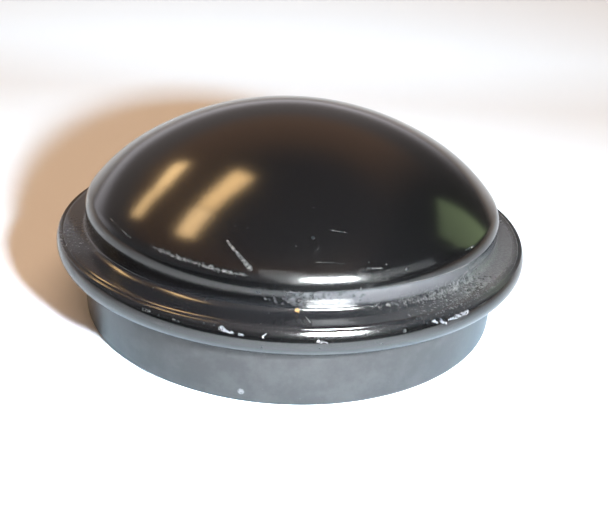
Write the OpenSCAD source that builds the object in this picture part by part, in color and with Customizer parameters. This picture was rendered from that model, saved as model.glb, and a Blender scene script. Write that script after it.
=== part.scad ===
// Hub grease cap: one disc of sheet steel, drawn and folded into a skirt,
// a hollow flange bead, a neck and a domed crown. Millimetres, +Z up.
// The origin is the centre of the skirt's rim, which rests on the surface.

/* [Sheet] */
// Thickness of the sheet
wall = 1.2; // [0.8:0.05:1.4]

/* [Skirt] */
// Outer diameter of the skirt, which is pressed into the hub's bore
skirt_d = 50.3; // [40:0.1:80]
// Height of the flange's seat above the skirt's rim
skirt_h = 6.75; // [4:0.05:14]
// Lead-in round on the outer edge of the rim
rim_round = 0.4; // [0.1:0.05:0.7]
// Radius between the skirt and the flange's seat
seat_fillet = 0.5; // [0.3:0.05:0.9]

/* [Flange bead] */
// How far the bead stands out from the skirt
bead_reach = 2.62; // [2.2:0.01:3.6]
// Radius of the bead's rounded lip
lip_r = 2.05; // [1.8:0.01:2.2]
// Depth from the lip's centre down to the flat seat
seat_drop = 1.97; // [1.5:0.01:1.97]
// Height from the lip's centre up to the flat land, which ends in a crease
land_rise = 1.33; // [1.3:0.01:1.7]

/* [Neck] */
// Radius between the land and the neck
neck_fillet = 1; // [0.5:0.05:1.5]
// Height of the neck's straight part
neck_h = 0.65; // [0:0.05:4]
// How far the neck lies inside the shoulder
neck_recess = 0.03; // [0.02:0.01:0.6]
// Radius of the hollow that runs from the neck into the shoulder
hollow_r = 1; // [0.5:0.05:1.5]

/* [Dome] */
// How far the dome's shoulder lies inside the skirt's outer face
shoulder_inset = 0.72; // [0.2:0.02:3]
// Radius of the shoulder's underside
tuck_r = 1.86; // [1.5:0.02:3]
// Radius of the shoulder
shoulder_r = 3; // [2:0.05:6]
// Radius of the flank between the shoulder and the crown
flank_r = 22.4; // [12:0.1:30]
// Slope of the dome where the shoulder ends and the flank begins
shoulder_slope = 49; // [44:1:60]
// Slope of the dome where the flank ends and the crown begins
crown_slope = 30; // [20:1:40]

/* [Hidden] */
$fn = 240;
paint = [0.09, 0.09, 0.1];

// Heights
lip_z = skirt_h + seat_drop;
land_z = lip_z + land_rise;
hollow_z = land_z + neck_fillet + neck_h;

// Radii from the axis
skirt_r = skirt_d / 2;
dome_r = skirt_r - shoulder_inset;
neck_r = dome_r - neck_recess;
lip_centre_r = skirt_r + bead_reach - lip_r;

// The hollow and the shoulder's underside meet where their slopes agree
tuck_turn = acos(1 - neck_recess / (hollow_r + tuck_r));
shoulder_z = hollow_z + (hollow_r + tuck_r) * sin(tuck_turn);

// Each dome arc ends where the next begins, with the same slope
shoulder_end = 90 - shoulder_slope;
crown_start = 90 - crown_slope;
shoulder_c = [dome_r - shoulder_r, shoulder_z];
flank_c = shoulder_c - (flank_r - shoulder_r) * heading(shoulder_end);
crown_r = flank_r + flank_c.x / cos(crown_start);
crown_c = [0, flank_c.y - (crown_r - flank_r) * sin(crown_start)];

// Each dome arc runs up a little inside the next one, which starts a hair
// lower than it would touch, so that the two cross at a clear angle
arc_lap = 0.3;
arc_step = 0.0002;

// Unit vector at an angle from the radial direction towards +Z
function heading(a) = [cos(a), sin(a)];

// Block of the section between two corners
module block(low, high) {
    polygon([low, [high.x, low.y], high, [low.x, high.y]]);
}

// Band of the section from the axis out to a circle that bulges outwards
module full_band(centre, r, low_z, high_z) {
    if (centre.x > 0)
        block([0, low_z], [centre.x, high_z]);
    intersection() {
        translate(centre) circle(r);
        block([max(centre.x - r / 2, 0), low_z], [centre.x + r, high_z]);
    }
}

// Band of the section from the axis out to a circle that bulges inwards
module hollow_band(centre, r, low_z, high_z) {
    difference() {
        block([0, low_z], [centre.x, high_z]);
        translate(centre) circle(r);
    }
}

// Each module below fills its part of the section from the axis out to a face
// of the sheet. The depth is 0 for the outer face and the wall for the inner one.

// Skirt, and the bend out to the seat
module skirt_profile(depth) {
    bend_c = [skirt_r + seat_fillet, skirt_h - seat_fillet];
    block([0, -depth], [skirt_r - depth, bend_c.y]);
    hollow_band(bend_c, seat_fillet + depth, bend_c.y, skirt_h + depth);
}

// Bead: the sheet turns back round the lip, and both leaves are pressed flat
module bead_profile(depth) {
    full_band([lip_centre_r, lip_z], lip_r - depth, skirt_h + depth, land_z - depth);
}

// Fillet, straight neck, and the hollow that leads under the shoulder
module neck_profile(depth) {
    fillet_c = [neck_r + neck_fillet, land_z + neck_fillet];
    meeting_z = hollow_z + (hollow_r + depth) * sin(tuck_turn);
    hollow_band(fillet_c, neck_fillet + depth, land_z - depth, fillet_c.y);
    if (neck_h > 0)
        block([0, fillet_c.y], [neck_r - depth, hollow_z]);
    hollow_band([neck_r + hollow_r, hollow_z], hollow_r + depth, hollow_z, meeting_z);
    full_band([dome_r - tuck_r, shoulder_z], tuck_r - depth, meeting_z, shoulder_z);
}

// Shoulder, flank and crown
module dome_profile(depth) {
    flank_z = shoulder_z + (shoulder_r - depth) * sin(shoulder_end);
    crown_z = flank_c.y + (flank_r - depth) * sin(crown_start);
    full_band(shoulder_c, shoulder_r - depth, shoulder_z, flank_z + arc_lap);
    full_band(flank_c, flank_r - depth - arc_step, flank_z, crown_z + arc_lap);
    full_band(crown_c, crown_r - depth - 2 * arc_step, crown_z, crown_c.y + crown_r);
}

module cap_profile(depth) {
    skirt_profile(depth);
    bead_profile(depth);
    neck_profile(depth);
    dome_profile(depth);
}

// What the lead-in round takes off the rim
module rim_cut() {
    difference() {
        block([skirt_r - rim_round, -rim_round], [skirt_r + rim_round, rim_round]);
        translate([skirt_r - rim_round, rim_round]) circle(rim_round);
    }
}

// The whole cap, spun from its section
module grease_cap() {
    color(paint)
    rotate_extrude($fn = 360)
    difference() {
        cap_profile(0);
        cap_profile(wall);
        rim_cut();
    }
}

grease_cap();
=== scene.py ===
import math

import bmesh
import bpy
from mathutils import Matrix, Vector, noise


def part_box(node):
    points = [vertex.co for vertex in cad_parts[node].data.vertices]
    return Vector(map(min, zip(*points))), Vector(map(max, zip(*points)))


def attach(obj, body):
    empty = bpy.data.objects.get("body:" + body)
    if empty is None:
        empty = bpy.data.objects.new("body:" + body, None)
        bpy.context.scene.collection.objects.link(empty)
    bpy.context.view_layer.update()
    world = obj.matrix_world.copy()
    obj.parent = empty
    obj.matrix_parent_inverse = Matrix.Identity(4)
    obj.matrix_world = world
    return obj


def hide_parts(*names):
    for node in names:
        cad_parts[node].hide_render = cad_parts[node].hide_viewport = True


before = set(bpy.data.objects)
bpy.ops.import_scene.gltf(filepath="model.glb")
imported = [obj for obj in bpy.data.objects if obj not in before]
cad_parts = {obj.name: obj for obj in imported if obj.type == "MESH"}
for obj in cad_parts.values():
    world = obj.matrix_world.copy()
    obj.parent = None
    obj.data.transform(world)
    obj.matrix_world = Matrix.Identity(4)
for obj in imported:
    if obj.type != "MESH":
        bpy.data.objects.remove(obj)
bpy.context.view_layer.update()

mm = 0.001
print("frame loaded")


class Wire:
    # one output of a node: sums written on it add Math nodes
    def __init__(self, tree, socket):
        self.tree = tree
        self.socket = socket

    def maths(self, operation, first, second=0.0):
        return self.tree.node("ShaderNodeMath", {"operation": operation}, {0: first, 1: second})

    def __add__(self, other):
        return self.maths("ADD", self, other)

    def __sub__(self, other):
        return self.maths("SUBTRACT", self, other)

    def __rsub__(self, other):
        return self.maths("SUBTRACT", other, self)

    def __mul__(self, other):
        return self.maths("MULTIPLY", self, other)

    def __truediv__(self, other):
        return self.maths("DIVIDE", self, other)

    def __pow__(self, other):
        return self.maths("POWER", self, other)

    def __neg__(self):
        return self.maths("MULTIPLY", self, -1.0)

    def __abs__(self):
        return self.maths("ABSOLUTE", self)

    __radd__ = __add__
    __rmul__ = __mul__

    def most(self, other):
        return self.maths("MAXIMUM", self, other)

    def rise(self, low, high):
        # 0 below low, 1 above high, and smooth between them
        ends = {"Value": self, "From Min": low, "From Max": high}
        return self.tree.node("ShaderNodeMapRange", {"interpolation_type": "SMOOTHSTEP"}, ends)

    def within(self, low, high, soft):
        return self.rise(low - soft, low + soft) * (1 - self.rise(high - soft, high + soft))

    def also(self, index):
        return Wire(self.tree, self.socket.node.outputs[index])


class Nodes:
    # a node tree that is filled one node at a time
    def __init__(self, tree):
        self.tree = tree
        tree.nodes.clear()

    def node(self, kind, settings=None, sockets=None, output=0):
        made = self.tree.nodes.new(kind)
        for name, value in (settings or {}).items():
            setattr(made, name, value)
        for key, value in (sockets or {}).items():
            if isinstance(value, Wire):
                self.tree.links.new(value.socket, made.inputs[key])
            else:
                made.inputs[key].default_value = value
        return Wire(self, made.outputs[output]) if made.outputs else None

    def place(self):
        # where a point is on the cap, in millimetres
        spot = self.node("ShaderNodeTexCoord", output=3)
        return self.node("ShaderNodeMapping", {}, {"Vector": spot, "Scale": (1000, 1000, 1000)})

    def noise(self, spot, scale, detail=2.0, roughness=0.5, output=0):
        sockets = {"Vector": spot, "Scale": scale, "Detail": detail, "Roughness": roughness}
        return self.node("ShaderNodeTexNoise", {}, sockets, output)

    def vector(self, operation, first, second, output=0):
        return self.node("ShaderNodeVectorMath", {"operation": operation}, {0: first, 1: second}, output)

    def mix(self, mask, first, second):
        # colours, as (red, green, blue)
        sockets = {0: mask}
        for index, value in ((6, first), (7, second)):
            sockets[index] = value if isinstance(value, Wire) else (*value, 1.0)
        return self.node("ShaderNodeMix", {"data_type": "RGBA"}, sockets, 2)


# The pressed cap, from the rim of its skirt to its crown, in millimetres
cap = {
    "sheet": 1.2,
    "skirtRadius": 25.15,
    "seatHeight": 6.75,
    "rimRound": 0.4,
    "seatFillet": 0.5,
    "lipReach": 2.62,        # from the skirt out to the lip
    "lipRadius": 2.05,
    "seatDrop": 1.97,        # from the lip's centre down to the seat
    "landRise": 1.33,        # from the lip's centre up to the land
    "lipEnd": 38,            # degrees above level, where the lip meets the groove
    "rollOut": 26.75,        # the land's rolled edge, from the axis
    "rollRadius": 0.33,
    "rollEnd": 10,           # degrees above level
    "neckFillet": 0.6,
    "neckHeight": 1.463,     # straight up to the shoulder
    "shoulderOut": 24.43,    # the shoulder's outer radius from the axis
    "shoulderRadius": 3.0,
    "flankRadius": 22.4,
    "shoulderEnd": 41,       # degrees above level, as the next
    "crownStart": 60,
    "around": 360,           # faces round the cap
    "ripple": 0.010,         # how far the pressing is out of true
    "rippleLength": 7.0,
}


def lineTo(mesh, tip, radius, height, steps=1):
    # a straight stretch of the section, and the vertex that it ends on
    start = tip.co.copy()
    end = Vector((radius, 0, height))
    for step in range(steps):
        tip = bmesh.ops.extrude_vert_indiv(mesh, verts=[tip])["verts"][0]
        tip.co = start.lerp(end, (step + 1) / steps)
    return tip


def arcTo(mesh, tip, centre, sweep, steps):
    # a round stretch about its centre, anticlockwise where the sweep is positive
    middle = (centre[0], 0, centre[1])
    turn = math.radians(sweep)
    made = bmesh.ops.spin(mesh, geom=[tip], cent=middle, axis=(0, -1, 0), angle=turn, steps=steps)
    return [item for item in made["geom_last"] if isinstance(item, bmesh.types.BMVert)][0]


def traceFace(mesh, depth, fine):
    # one face of the sheet from rim to crown: depth 0 is the outer face
    skirt = cap["skirtRadius"]
    seat = cap["seatHeight"]
    lipHeight = seat + cap["seatDrop"]
    lipCentre = skirt + cap["lipReach"] - cap["lipRadius"]
    land = lipHeight + cap["landRise"]
    neck = cap["shoulderOut"]
    fillet = cap["neckFillet"]
    shoulder = land + fillet + cap["neckHeight"]
    shoulderCentre = cap["shoulderOut"] - cap["shoulderRadius"]

    lip = cap["lipRadius"] - depth
    lowest = math.degrees(math.asin((cap["seatDrop"] - depth) / lip))
    highest = math.degrees(math.asin((cap["landRise"] - depth) / lip)) if depth else cap["lipEnd"]
    seatEnd = lipCentre + lip * math.cos(math.radians(lowest))

    rim = mesh.verts.new((skirt - depth, 0, 0))
    tip = lineTo(mesh, rim, skirt - depth, seat - cap["seatFillet"], 6 * fine)
    tip = arcTo(mesh, tip, (skirt + cap["seatFillet"], seat - cap["seatFillet"]), -90, 4 * fine)
    tip = lineTo(mesh, tip, seatEnd, seat + depth, fine)
    tip = arcTo(mesh, tip, (lipCentre, lipHeight), lowest + highest, 13 * fine)
    if depth == 0:
        # a fine groove, and the land's rolled edge
        roll = cap["rollRadius"]
        bottom = math.radians(cap["rollEnd"])
        rollBottom = (cap["rollOut"] + roll * math.cos(bottom), land - roll + roll * math.sin(bottom))
        tip = lineTo(mesh, tip, *rollBottom)
        tip = arcTo(mesh, tip, (cap["rollOut"], land - roll), 90 - cap["rollEnd"], 6)
    tip = lineTo(mesh, tip, neck + fillet, land - depth, 3 * fine)
    tip = arcTo(mesh, tip, (neck + fillet, land + fillet), -90, 5 * fine)
    tip = lineTo(mesh, tip, neck - depth, shoulder, 3 * fine)
    tip = arcTo(mesh, tip, (shoulderCentre, shoulder), cap["shoulderEnd"], 8 * fine)

    # each dome arc starts on the last one with the same slope
    slope = math.radians(cap["shoulderEnd"])
    gap = cap["flankRadius"] - cap["shoulderRadius"]
    flank = (shoulderCentre - gap * math.cos(slope), shoulder - gap * math.sin(slope))
    tip = arcTo(mesh, tip, flank, cap["crownStart"] - cap["shoulderEnd"], 7 * fine)
    slope = math.radians(cap["crownStart"])
    crown = (0, flank[1] - flank[0] * math.tan(slope))
    tip = arcTo(mesh, tip, crown, 90 - cap["crownStart"], 12 * fine)
    tip.co.x = 0
    return rim


def buildCap():
    mesh = bmesh.new()
    outerRim = traceFace(mesh, 0, 2)
    outerCount = len(mesh.verts)
    innerRim = traceFace(mesh, cap["sheet"], 1)
    mesh.edges.new((outerRim, innerRim))
    mesh.verts.ensure_lookup_table()
    insideMark = mesh.verts.layers.int.new("inside")
    for vertex in mesh.verts[outerCount:]:
        vertex[insideMark] = 1
    section = mesh.verts[:] + mesh.edges[:]
    bmesh.ops.spin(mesh, geom=section, cent=(0, 0, 0), axis=(0, 0, 1), angle=math.tau,
                   steps=cap["around"], use_merge=True)
    bmesh.ops.remove_doubles(mesh, verts=mesh.verts[:], dist=0.001)
    bmesh.ops.recalc_face_normals(mesh, faces=mesh.faces[:])

    # the rounded rim
    rings = (
        (cap["skirtRadius"], 0, cap["rimRound"], 4),
        (cap["skirtRadius"] - cap["sheet"], 0, 0.15, 2),
    )
    for radius, height, size, segments in rings:
        ring = [edge for edge in mesh.edges if all(isAt(end, radius, height) for end in edge.verts)]
        bmesh.ops.bevel(mesh, geom=ring, offset=size, segments=segments, profile=0.5,
                        affect="EDGES", material=-1)

    # a pressing is never quite true
    for vertex in mesh.verts:
        sway = noise.noise(vertex.co / cap["rippleLength"]) * cap["ripple"]
        vertex.co += vertex.normal * sway * min(vertex.co.z / 3, 1) * (-1 if vertex[insideMark] else 1)
    for face in mesh.faces:
        face.smooth = True
        face.material_index = 1 if all(vertex[insideMark] for vertex in face.verts) else 0
    fitToCad(mesh)
    data = bpy.data.meshes.new("cap")
    mesh.to_mesh(data)
    mesh.free()
    piece = bpy.data.objects.new("cap", data)
    bpy.context.collection.objects.link(piece)
    return piece


def isAt(vertex, radius, height):
    return abs(vertex.co.xy.length - radius) < 0.002 and abs(vertex.co.z - height) < 0.002


def fitToCad(mesh):
    # into metres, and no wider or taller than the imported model
    low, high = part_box("grease_cap")
    sizes = []
    for axis in range(3):
        values = [vertex.co[axis] for vertex in mesh.verts]
        sizes.append(min(mm, 0.9999 * (high[axis] - low[axis]) / (max(values) - min(values))))
    bmesh.ops.scale(mesh, vec=sizes, verts=mesh.verts[:])


# Marks of use, and lighter smears beside the shoulder highlight that paint a glow around it. Places are
# on the outer face, in millimetres
marks = {
    "scratches": [
        {"from": (-18.39, -14.71, 14.25), "to": (-15.59, -18.15, 13.79),
         "width": (0.06, 0.16), "bright": 0.70},
        {"from": (-5.89, -21.57, 15.51), "to": (-3.61, -23.60, 13.86),
         "width": (0.14, 0.32), "bright": 0.75},
        {"from": (3.48, -20.68, 16.74), "to": (5.04, -20.62, 16.52),
         "width": (0.10, 0.05), "bright": 0.50},
        {"from": (2.24, -23.13, 14.60), "to": (4.87, -22.86, 14.45),
         "width": (0.05, 0.05), "bright": 0.35},
        {"from": (17.32, -16.66, 13.62), "to": (18.35, -15.54, 13.60),
         "width": (0.10, 0.12), "bright": 0.60},
        {"from": (7.00, -22.70, 14.03), "to": (8.46, -22.29, 13.91),
         "width": (0.09, 0.07), "bright": 0.55},
        {"from": (6.64, -23.04, 13.70), "to": (7.49, -23.25, 12.22),
         "width": (0.70, 0.50), "bright": 0.12},
        {"from": (-16.96, -21.58, 9.82), "to": (-16.68, -21.99, 9.53),
         "width": (0.08, 0.08), "bright": 0.50},
        {"from": (-10.21, -25.67, 9.47), "to": (-9.66, -25.92, 9.39),
         "width": (0.12, 0.12), "bright": 0.50},
        {"from": (1.60, -25.13, 10.05), "to": (1.96, -25.95, 10.05),
         "width": (0.07, 0.10), "bright": 1.00},
        {"from": (-13.18, -24.27, 9.49), "to": (-12.52, -24.61, 9.51),
         "width": (0.20, 0.16), "bright": 0.80},
        {"from": (18.29, -20.68, 9.51), "to": (19.26, -19.75, 9.55),
         "width": (0.10, 0.10), "bright": 0.40},
    ],
    # the first two lie on the shoulder beside its highlight and paint a wider glow around it; the others
    # are stains on the skirt
    "smearsAndGlow": [
        {"from": (-2.51, -23.90, 13.62), "to": (1.07, -24.18, 13.27),
         "width": (0.5, 0.9), "bright": 0.10},
        {"from": (7.97, -22.85, 13.27), "to": (13.35, -19.94, 13.68),
         "width": (0.7, 0.5), "bright": 0.10},
        {"from": (-15.40, -19.88, 2.90), "to": (-13.95, -20.93, 3.31),
         "width": (1.0, 0.8), "bright": 0.18},
        {"from": (-8.35, -23.72, 4.91), "to": (-6.00, -24.42, 5.40),
         "width": (0.8, 0.5), "bright": 0.15},
        {"from": (-5.23, -24.60, 5.23), "to": (-3.44, -24.91, 5.43),
         "width": (0.4, 0.7), "bright": 0.15},
    ],
    "chips": [
        {"from": (-5.84, -26.97, 9.54), "to": (-4.80, -27.25, 9.34), "width": (0.25, 0.22)},
        {"from": (-4.19, -27.35, 9.35), "to": (-3.87, -27.43, 9.24), "width": (0.15, 0.11)},
        {"from": (-2.07, -27.59, 9.36), "to": (-1.71, -27.49, 9.66), "width": (0.14, 0.08)},
        {"from": (13.38, -24.07, 9.66), "to": (13.70, -24.01, 9.43), "width": (0.22, 0.15)},
        {"from": (14.11, -23.72, 9.55), "to": (14.66, -23.52, 9.19), "width": (0.25, 0.22)},
        {"from": (15.07, -23.19, 9.38), "to": (17.02, -21.76, 9.48), "width": (0.22, 0.27)},
        {"from": (2.79, -27.60, 9.07), "to": (3.41, -27.54, 8.97), "width": (0.22, 0.14)},
    ],
    "rust": {"at": (0.8, -24.5, 10.3), "size": 0.32},
    "paleSpot": {"at": (-4.15, -24.80, 1.26), "size": 0.40},
    "dots": [
        {"at": (-11.62, -25.08, 9.43), "size": 0.12, "bright": 0.48},
        {"at": (-7.35, -26.52, 9.71), "size": 0.10, "bright": 0.36},
        {"at": (-6.43, -26.74, 9.74), "size": 0.10, "bright": 0.36},
        {"at": (-2.18, -27.64, 8.28), "size": 0.13, "bright": 0.54},
        {"at": (-16.43, -18.05, 10.36), "size": 0.10, "bright": 0.60},
        {"at": (-1.73, -24.80, 10.08), "size": 0.09, "bright": 0.54},
        {"at": (-3.24, -24.13, 10.44), "size": 0.09, "bright": 0.54},
        {"at": (1.89, -21.48, 16.23), "size": 0.20, "bright": 0.30},
        {"at": (8.75, -21.96, 14.16), "size": 0.10, "bright": 0.48},
        {"at": (10.77, -21.55, 13.51), "size": 0.22, "bright": 0.36},
        {"at": (12.98, -20.18, 13.68), "size": 0.30, "bright": 0.12},
        {"at": (10.52, -25.58, 9.37), "size": 0.25, "bright": 0.36},
        {"at": (8.47, -26.42, 8.42), "size": 0.12, "bright": 0.60},
        {"at": (-10.50, -25.71, 8.61), "size": 0.10, "bright": 0.30},
        {"at": (2.38, -22.25, 15.49), "size": 0.18, "bright": 0.18},
        {"at": (-9.66, -16.20, 18.26), "size": 0.10, "bright": 0.18},
        {"at": (-14.01, -8.98, 19.54), "size": 0.10, "bright": 0.24},
    ],
}


def strokeMask(tree, spot, stroke):
    # 1 along a straight scratch, fading at its edges
    start = Vector(stroke["from"])
    run = Vector(stroke["to"]) - start
    offset = tree.vector("SUBTRACT", spot, start)
    along = tree.vector("DOT_PRODUCT", offset, run / run.length_squared, 1)
    along = along.maths("MINIMUM", along.most(0.0), 1.0)
    nearest = tree.node("ShaderNodeVectorMath", {"operation": "SCALE"}, {0: run, "Scale": along})
    away = tree.vector("DISTANCE", offset, nearest, 1)
    first, last = stroke["width"]
    return 1 - (away / (first + along * (last - first))).rise(0.35, 1.0)


def dotMask(tree, spot, dot):
    away = tree.vector("DISTANCE", spot, dot["at"], 1)
    return 1 - away.rise(dot["size"] * 0.5, dot["size"])


# Black paint on pressed steel: gloss on the dome, dull and dusty below, with painted reflections on the
# land, the neck and the lip's lower edge
paint = {
    "gloss": (0.0015, 0.0015, 0.0016),
    "flange": (0.006, 0.006, 0.0065),
    "dry": (0.034, 0.034, 0.034),
    "speck": (0.075, 0.075, 0.075),
    "land": (0.040, 0.041, 0.044),       # painted reflection: the land made lighter on the left, for the white floor it reflects there
    "wall": (0.048, 0.048, 0.050),       # painted reflection: the neck made lighter on the right, toward the flash-lit floor
    "dusty": (0.012, 0.0122, 0.0125),    # under the lip
    "skirt": (0.026, 0.0257, 0.026),
    "skirtWorn": (0.013, 0.0132, 0.0138),
    "metal": (0.095, 0.095, 0.10),
    # painted highlight: a light line along the lip's lower edge, on the right
    "edge": (0.07, 0.07, 0.072),
    "scuff": (0.06, 0.06, 0.058),
    "rust": (0.09, 0.055, 0.02),
    "paleSpot": (0.17, 0.17, 0.17),
    "glossRoughness": 0.15,
    "lipRoughness": 0.07,                # added to the gloss, as the next is
    "skirtRoughness": 0.08,
    "haze": 0.02,
    "hazeRoughness": 0.45,
}

# Where each finish and each painted reflection lies: heights in millimetres, and turns in degrees from
# the front to the right
zones = {
    "lipTop": (8.75, 9.05),              # the dull underside ends here
    "skirtTop": (6.2, 7.2),
    "skirtDull": (6.8, 6.4),
    "flangeTop": (9.7, 10.9),
    "spray": (9.9, 11.3),
    "sprayTurn": (36, 105),
    "sprayFade": (27.2, 25.9),           # distances from the axis
    # turns of the duller land on the left, which also carries a painted reflection
    "dullSheenTurn": (-150, -65),
    # the neck band that is painted lighter on the right, as a painted reflection
    "wall": (10.8, 12.2),
    "wallStart": (-6, 16),
    "wallEnd": (110, 50),
    # painted highlight along the lip's lower edge, on the right side
    "paintedEdgeGlint": (6.9, 7.12),
    "glintTurn": (14, 62),
    "rubHeight": 13.82,
    "rubTurn": (-32, -10),
    "moteHeights": (9.4, 12.6),
}

# Sizes of the patterns, as repeats in a millimetre
grains = {
    "cloud": 0.25,
    "wear": 0.2,
    "fine": 2.2,
    "grit": 5.0,
    "pebbles": 4.4,
    "ragged": 2.6,
    "motes": 1.1,
    "moteGroups": 0.4,
}


def blackPaint():
    material = bpy.data.materials.new("blackPaint")
    material.use_nodes = True
    tree = Nodes(material.node_tree)
    spot = tree.place()
    across = tree.node("ShaderNodeSeparateXYZ", {}, {0: spot})
    depth = across.also(1)
    height = across.also(2)
    radius = (across * across + depth * depth) ** 0.5
    turn = across.maths("ARCTAN2", across, -depth) * math.degrees(1)   # from the front towards the right

    # which part of the pressing a point is on
    cloud = tree.noise(spot, grains["cloud"], 3.0)
    fine = tree.noise(spot, grains["fine"], 4.0, 0.6)
    grit = tree.noise(spot, grains["grit"], 3.0, 0.6)
    wear = tree.noise(spot, grains["wear"], 6.0, 0.7).rise(0.38, 0.62)
    under = 1 - (height + cloud * 0.3).rise(*zones["lipTop"])
    flangeTop = height.within(*zones["flangeTop"], 0.2)
    patchy = turn + (fine - 0.5) * 60 + (cloud - 0.5) * 20     # dust, and the painted reflections, have no clean edge
    drySpray = height.within(*zones["spray"], 0.2) * patchy.within(*zones["sprayTurn"], 22)
    drySpray = drySpray * (0.4 + radius.rise(*zones["sprayFade"]) * 0.6)
    # the land on the left: duller paint, and a lighter colour there as a painted reflection of the white
    # floor
    dullSheenLand = flangeTop * patchy.within(*zones["dullSheenTurn"], 12)
    # painted reflection: the neck's right side lighter, where it faces the flash and the lit floor
    wallSheen = height.within(*zones["wall"], 0.25) * patchy.rise(*zones["wallStart"])
    wallSheen = wallSheen * patchy.rise(*zones["wallEnd"])

    # painted highlight: a thin light line on the lip's lower edge, on the right where it reflects the
    # lit floor; grit breaks it up
    paintedEdgeGlint = height.within(*zones["paintedEdgeGlint"], 0.08) * turn.within(*zones["glintTurn"], 8)
    paintedEdgeGlint = paintedEdgeGlint * grit.rise(0.3, 0.5)

    # pebbled grain of the dry spray
    pebbles = {"Vector": spot, "Scale": grains["pebbles"], "Smoothness": 0.6}
    grain = 1 - tree.node("ShaderNodeTexVoronoi", {"feature": "SMOOTH_F1"}, pebbles)
    specks = grain.rise(0.40, 0.85) * drySpray

    # scratches break up along their length
    scratches = None
    for stroke in marks["scratches"]:
        mask = strokeMask(tree, spot, stroke) * stroke["bright"]
        scratches = mask if scratches is None else scratches.most(mask)
    line = zones["rubHeight"] - (turn + 33) * 0.024
    rub = 1 - (abs(height - line) + (fine - 0.5) * 0.8 + (grit - 0.5) * 0.7).rise(0.04, 0.17)
    rub = rub * turn.within(*zones["rubTurn"], 3) * grit.rise(0.3, 0.6)
    scratches = (scratches * grit.rise(0.33, 0.60)).most(rub)
    # the smears: painted glow beside the shoulder highlight, and stains on the skirt
    for smear in marks["smearsAndGlow"]:
        mask = strokeMask(tree, spot, smear) * smear["bright"]
        scratches = scratches.most(mask)
    for dot in marks["dots"]:
        mask = dotMask(tree, spot, dot) * dot["bright"]
        scratches = scratches.most(mask)

    # chips have ragged outlines
    shift = tree.noise(spot, grains["ragged"], 2.0, 0.5, output=1)
    shift = tree.vector("MULTIPLY", tree.vector("SUBTRACT", shift, (0.5, 0.5, 0.5)), (0.5, 0.5, 0.5))
    ragged = tree.vector("ADD", spot, shift)
    chips = None
    for chip in marks["chips"]:
        mask = strokeMask(tree, ragged, chip)
        chips = mask if chips is None else chips.most(mask)
    chips = chips * grit.rise(0.36, 0.52)
    rust = dotMask(tree, ragged, marks["rust"])
    paleSpot = dotMask(tree, spot, marks["paleSpot"]) * grit.rise(0.2, 0.6)

    # dust motes
    cells = tree.node("ShaderNodeTexVoronoi", {}, {"Vector": spot, "Scale": grains["motes"]})
    motes = (1 - cells.rise(0.04, 0.10)) * tree.noise(spot, grains["moteGroups"], 1.0).rise(0.42, 0.56)
    motes = motes * (0.35 + height.within(*zones["moteHeights"], 0.2) * 0.4)

    colour = tree.mix(flangeTop, paint["gloss"], paint["flange"])
    skirtColour = tree.mix(wear, paint["skirtWorn"], paint["skirt"])
    lowColour = tree.mix(height.rise(*zones["skirtTop"]), skirtColour, paint["dusty"])
    colour = tree.mix(under, colour, lowColour)
    colour = tree.mix(dullSheenLand, colour, paint["land"])
    colour = tree.mix(wallSheen, colour, paint["wall"])
    colour = tree.mix(drySpray, colour, paint["dry"])
    colour = tree.mix(specks, colour, paint["speck"])
    colour = tree.mix(paintedEdgeGlint, colour, paint["edge"])
    # scratches, dots and stains, and the smears that paint a glow beside the highlight
    colour = tree.mix(scratches, colour, paint["scuff"])
    colour = tree.mix(motes, colour, paint["scuff"])
    colour = tree.mix(rust, colour, paint["rust"])
    colour = tree.mix(paleSpot, colour, paint["paleSpot"])
    colour = tree.mix(chips, colour, paint["metal"])
    skirt = height.rise(*zones["skirtDull"])
    rough = paint["glossRoughness"] + under * paint["lipRoughness"] + skirt * paint["skirtRoughness"]
    rough = rough + (drySpray + dullSheenLand) * 0.15 + scratches * 0.2 + chips * 0.3
    haze = (1 - under) * paint["haze"]

    relief = (fine - 0.5) * 0.004 + (grit - 0.5) * (0.0016 + flangeTop * 0.004)
    relief = relief + drySpray * grain * 0.03 - chips * 0.02 - scratches * 0.01
    bump = tree.node("ShaderNodeBump", {}, {"Strength": 1.0, "Distance": mm, "Height": relief})
    shader = tree.node("ShaderNodeBsdfPrincipled", {}, {
        "Base Color": colour,
        "Roughness": rough,
        "Coat Weight": haze,
        "Coat Roughness": paint["hazeRoughness"],
        "Normal": bump,
    })
    tree.node("ShaderNodeOutputMaterial", {}, {"Surface": shader})
    return material


# The inside has thin paint and a film of old grease
inside = {
    "paint": (0.02, 0.02, 0.021),
    "grease": (0.06, 0.04, 0.018),
}


def insidePaint():
    material = bpy.data.materials.new("insidePaint")
    material.use_nodes = True
    tree = Nodes(material.node_tree)
    spot = tree.place()
    smear = tree.noise(spot, 0.18, 5.0, 0.6).rise(0.45, 0.65)
    strokes = tree.noise(spot, 1.4, 3.0)
    colour = tree.mix(smear, inside["paint"], inside["grease"])
    relief = (strokes - 0.5) * (smear * 0.08 + 0.01)
    bump = tree.node("ShaderNodeBump", {}, {"Strength": 1.0, "Distance": mm, "Height": relief})
    shader = tree.node("ShaderNodeBsdfPrincipled", {}, {
        "Base Color": colour,
        "Roughness": 0.5 - smear * 0.22,
        "Normal": bump,
    })
    tree.node("ShaderNodeOutputMaterial", {}, {"Surface": shader})
    return material


capPiece = buildCap()
capPiece.data.materials.append(blackPaint())
capPiece.data.materials.append(insidePaint())
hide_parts("grease_cap")
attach(capPiece, "root")
print("cap built")


# Pale floor that sweeps up behind the cap. Sizes in millimetres
floor = {
    "halfSize": 1500,
    "sweepStart": 113,       # how far behind the cap it starts to rise
    "sweepRadius": 400,
    "sweepAngle": 9,
    "colour": (0.90, 0.90, 0.91),
}


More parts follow.
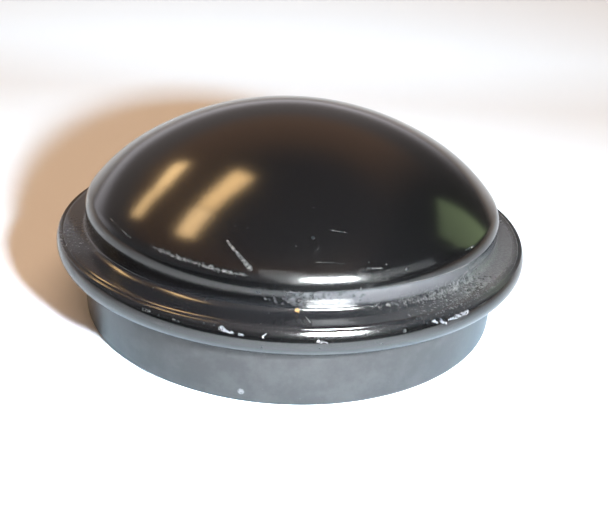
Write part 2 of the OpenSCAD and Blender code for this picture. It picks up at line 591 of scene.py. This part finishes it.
def buildFloor():
    mesh = bmesh.new()
    near = mesh.verts.new((-floor["halfSize"], -floor["halfSize"], 0))
    bend = bmesh.ops.extrude_vert_indiv(mesh, verts=[near])["verts"][0]
    bend.co.y = floor["sweepStart"]
    centre = (-floor["halfSize"], floor["sweepStart"], floor["sweepRadius"])
    slope = math.radians(floor["sweepAngle"])
    made = bmesh.ops.spin(mesh, geom=[bend], cent=centre, axis=(1, 0, 0), angle=slope, steps=24)
    last = [item for item in made["geom_last"] if isinstance(item, bmesh.types.BMVert)][0]
    far = bmesh.ops.extrude_vert_indiv(mesh, verts=[last])["verts"][0]
    far.co += Vector((0, math.cos(slope), math.sin(slope))) * floor["halfSize"]
    made = bmesh.ops.extrude_edge_only(mesh, edges=mesh.edges[:])["geom"]
    moved = [item for item in made if isinstance(item, bmesh.types.BMVert)]
    bmesh.ops.translate(mesh, vec=(2 * floor["halfSize"], 0, 0), verts=moved)
    bmesh.ops.scale(mesh, vec=(mm, mm, mm), verts=mesh.verts[:])
    for face in mesh.faces:
        face.smooth = True
    data = bpy.data.meshes.new("floor")
    mesh.to_mesh(data)
    mesh.free()
    piece = bpy.data.objects.new("floor", data)
    bpy.context.collection.objects.link(piece)
    material = bpy.data.materials.new("paleFloor")
    material.use_nodes = True
    tree = Nodes(material.node_tree)
    shader = tree.node("ShaderNodeBsdfPrincipled", {}, {
        "Base Color": (*floor["colour"], 1.0),
        "Roughness": 0.9,
        "Specular IOR Level": 0.1,
    })
    tree.node("ShaderNodeOutputMaterial", {}, {"Surface": shader})
    data.materials.append(material)


# Painted shade: a dark sheet on the floor in front, outside the picture, standing in for the floor that
# lies in shade there. Only reflections show it
shadeSheets = {
    "front": {"from": (-600, -900), "to": (600, -48)},
}


def layShadeSheet(name, shadeSheet):
    start, end = Vector(shadeSheet["from"]), Vector(shadeSheet["to"])
    size = end - start
    mesh = bmesh.new()
    bmesh.ops.create_grid(mesh, x_segments=1, y_segments=1, size=0.5)
    bmesh.ops.scale(mesh, vec=(size.x, size.y, 1), verts=mesh.verts[:])
    middle = (start + end) / 2
    bmesh.ops.translate(mesh, vec=(middle.x, middle.y, 0.3), verts=mesh.verts[:])
    bmesh.ops.scale(mesh, vec=(mm, mm, mm), verts=mesh.verts[:])
    data = bpy.data.meshes.new(name)
    mesh.to_mesh(data)
    mesh.free()
    piece = bpy.data.objects.new(name, data)
    bpy.context.collection.objects.link(piece)
    material = bpy.data.materials.new("paintedFloorShade")
    material.use_nodes = True
    tree = Nodes(material.node_tree)
    shader = tree.node("ShaderNodeBsdfDiffuse", {}, {"Color": (0.02, 0.02, 0.02, 1.0)})
    tree.node("ShaderNodeOutputMaterial", {}, {"Surface": shader})
    data.materials.append(material)
    piece.visible_camera = False
    piece.visible_diffuse = False
    piece.visible_shadow = False


# The lights. Directions are degrees from the front towards the right, and up.
# Seen lights show as reflections, and casting ones light what they shine on
lights = {
    "flash": {
        "at": (17.9, -60.9, 37.6), "towards": (0, 20, 0), "size": (9, 5),
        "colour": (0.49, 0.78, 1.0), "radiance": 1970, "even": True, "seen": False, "casts": True,
    },
    "flashNear": {
        "at": (17.9, -60.9, 37.6), "towards": (5, -40, 0), "size": (9, 5),
        "colour": (1.0, 0.97, 0.96), "radiance": 1300, "seen": False, "casts": True,
    },
    "flashSeen": {
        "at": (17.5, -61, 25.5), "towards": (5, -24, 12), "size": (19, 8),
        "colour": (0.93, 0.98, 1.0), "radiance": 580, "seen": True, "casts": False,
    },
    "ceiling": {
        "at": (0, 0, 900), "towards": (0, 0, 0), "size": (1200, 1200),
        "colour": (1.0, 0.67, 0.43), "radiance": 1.85, "seen": False, "casts": True,
    },
    "stripOneLow": {
        "from": (-105.5, 30.6), "to": (-121.0, 40.3), "width": 5.6,
        "colour": (1.0, 0.66, 0.30), "radiance": 11.5, "seen": True, "casts": False,
    },
    "stripOneHigh": {
        "from": (-121.0, 40.3), "to": (-137.5, 41.0), "width": 5.4,
        "colour": (1.0, 0.66, 0.30), "radiance": 14, "seen": True, "casts": False,
    },
    "stripTwoLow": {
        "from": (-77.0, 47.2), "to": (-95.5, 59.3), "width": 8.0,
        "colour": (1.0, 0.66, 0.31), "radiance": 18, "seen": True, "casts": False,
    },
    "stripTwoHigh": {
        "from": (-96.0, 59.6), "to": (-144.0, 64.3), "width": 7.5,
        "colour": (1.0, 0.64, 0.28), "radiance": 17, "seen": True, "casts": False,
    },
    "green": {
        "from": (113, 8), "to": (113, 36), "width": 20,
        "colour": (0.75, 1.0, 0.5), "radiance": 1.3, "seen": True, "casts": False,
    },
}

# The walls and ceiling around, which only reflections show
room = {
    "stripDistance": 800,
    "above": (0.22, 0.19, 0.19),
    "behind": (0.56, 0.34, 0.23),
    "wall": (0.34, 0.30, 0.29),
    "horizon": (1.35, 1.28, 1.35),
    "front": (0.30, 0.30, 0.32),
    "right": (0.09, 0.08, 0.075),
    # how far back, to the right or up each colour starts and is full
    "horizonBack": (0.1, 0.5),
    "wallUp": (0.14, 0.27),
    "rightSide": (0.1, 0.7),
    "behindUp": (0.40, 0.58),
    "behindSide": (0.6, 0.3),
    "aboveUp": (0.72, 0.92),
}


def towards(direction):
    turn, rise = (math.radians(angle) for angle in direction)
    return Vector((math.sin(turn) * math.cos(rise), -math.cos(turn) * math.cos(rise), math.sin(rise)))


def addLight(name, light):
    lamp = bpy.data.lights.new(name, "AREA")
    lamp.shape = "RECTANGLE"
    if "from" in light:
        # a strip that spans two directions, facing the cap
        start, end = towards(light["from"]), towards(light["to"])
        spot = (start + end).normalized() * room["stripDistance"]
        along = end - start
        wide = math.tan(math.radians(light["width"] / 2)) * 2
        size = (along.length * room["stripDistance"], wide * room["stripDistance"])
        back = spot
    else:
        spot = Vector(light["at"])
        back = spot - Vector(light["towards"])
        along = Vector((0, 0, 1)).cross(back) if back.xy.length > 1 else Vector((1, 0, 0))
        size = light["size"]
    along = along.normalized()
    facing = back.normalized()
    side = facing.cross(along)
    lamp.size = size[0] * mm
    lamp.size_y = size[1] * mm
    lamp.color = light["colour"]
    lamp.energy = light["radiance"] * math.pi * lamp.size * lamp.size_y
    if light.get("even"):
        # as strong far behind the cap as on it
        lamp.energy /= (back.length * mm) ** 2
        lamp.use_nodes = True
        tree = Nodes(lamp.node_tree)
        strength = tree.node("ShaderNodeLightFalloff", {}, {"Strength": 1.0}, 2)
        emission = tree.node("ShaderNodeEmission", {}, {"Strength": strength})
        tree.node("ShaderNodeOutputLight", {}, {"Surface": emission})
    holder = bpy.data.objects.new(name, lamp)
    turned = Matrix((along, side, facing)).transposed().to_4x4()
    holder.matrix_world = Matrix.Translation(spot * mm) @ turned
    holder.visible_camera = False
    holder.visible_glossy = light["seen"]
    holder.visible_diffuse = light["casts"]
    bpy.context.collection.objects.link(holder)


def lightRoom():
    world = bpy.data.worlds.new("room")
    world.use_nodes = True
    world.cycles_visibility.diffuse = False
    bpy.context.scene.world = world
    tree = Nodes(world.node_tree)
    direction = tree.node("ShaderNodeTexCoord")
    across = tree.node("ShaderNodeSeparateXYZ", {}, {0: direction})
    up = across.also(2)
    low = tree.mix(across.also(1).rise(*room["horizonBack"]), room["front"], room["horizon"])
    low = tree.mix(up.rise(*room["wallUp"]), low, room["wall"])
    low = tree.mix(across.rise(*room["rightSide"]), low, room["right"])
    behind = up.rise(*room["behindUp"]) * across.rise(*room["behindSide"])
    colour = tree.mix(behind, low, room["behind"])
    colour = tree.mix(up.rise(*room["aboveUp"]), colour, room["above"])
    background = tree.node("ShaderNodeBackground", {}, {"Color": colour, "Strength": 1.0})
    tree.node("ShaderNodeOutputWorld", {}, {"Surface": background})


buildFloor()
# the dark sheet of painted shade in front of the cap
for shadeName, shadePlace in shadeSheets.items():
    layShadeSheet(shadeName, shadePlace)
lightRoom()
for lightName, lightValues in lights.items():
    addLight(lightName, lightValues)
print("floor and lights placed")


# The camera as the photograph was taken
camera = {
    "elevation": 27.95,             # degrees above the floor
    "distance": 86.25,              # millimetres from the middle of the rim
    "roll": 2.893,                  # degrees
    "focalLength": 660,             # pixels of the photograph
    "imageSize": (608, 511),
    "rimCentre": (289.78, 283.78),  # the pixel that shows the middle of the rim
}


def placeCamera():
    width, height = camera["imageSize"]
    focal = camera["focalLength"]
    lens = bpy.data.cameras.new("camera")
    lens.sensor_width = 36.0
    lens.lens = focal * lens.sensor_width / width
    lens.clip_start = 0.001
    lens.clip_end = 20.0
    spot = towards((0, camera["elevation"])) * camera["distance"] * mm
    aimed = (-spot).to_track_quat("-Z", "Y").to_matrix()
    rolled = aimed @ Matrix.Rotation(math.radians(camera["roll"]), 3, "Z")
    column, row = camera["rimCentre"]
    seenAt = Vector(((column - width / 2) / focal, (height / 2 - row) / focal, -1))
    swing = Vector((0, 0, -1)).rotation_difference(seenAt).to_matrix()
    holder = bpy.data.objects.new("camera", lens)
    holder.matrix_world = Matrix.Translation(spot) @ (rolled @ swing.inverted()).to_4x4()
    bpy.context.collection.objects.link(holder)
    bpy.context.scene.camera = holder


placeCamera()
bpy.context.scene.view_settings.view_transform = "Standard"
bpy.context.view_layer.update()
print("camera placed")
